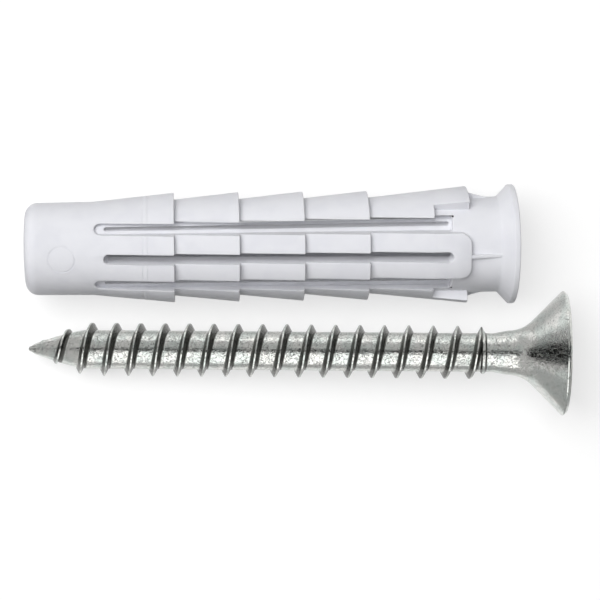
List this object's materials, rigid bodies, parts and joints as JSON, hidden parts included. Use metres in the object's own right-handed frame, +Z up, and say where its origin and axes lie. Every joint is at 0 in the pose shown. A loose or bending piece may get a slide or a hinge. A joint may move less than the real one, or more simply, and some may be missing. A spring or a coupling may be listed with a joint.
{
  "type": "wall plug with screw",
  "caption": "Barbed, slotted plastic wall plug with a flange, and its countersunk steel wood screw, lying side by side.",
  "frame": {"origin": "middle of the pair's footprint, on the surface that both pieces lie on", "axes": "+X from the tip and nose towards the screw's head and the plug's flange, +Y from the screw to the plug, +Z up"},
  "size_m": [0.056, 0.0238, 0.0128],
  "materials": {
    "plug_plastic": "pale grey moulded nylon, satin",
    "screw_steel": "bright zinc plate"
  },
  "bodies": {
    "root": {"wall_plug": "plug_plastic", "screw": "screw_steel"}
  },
  "joints": []
}
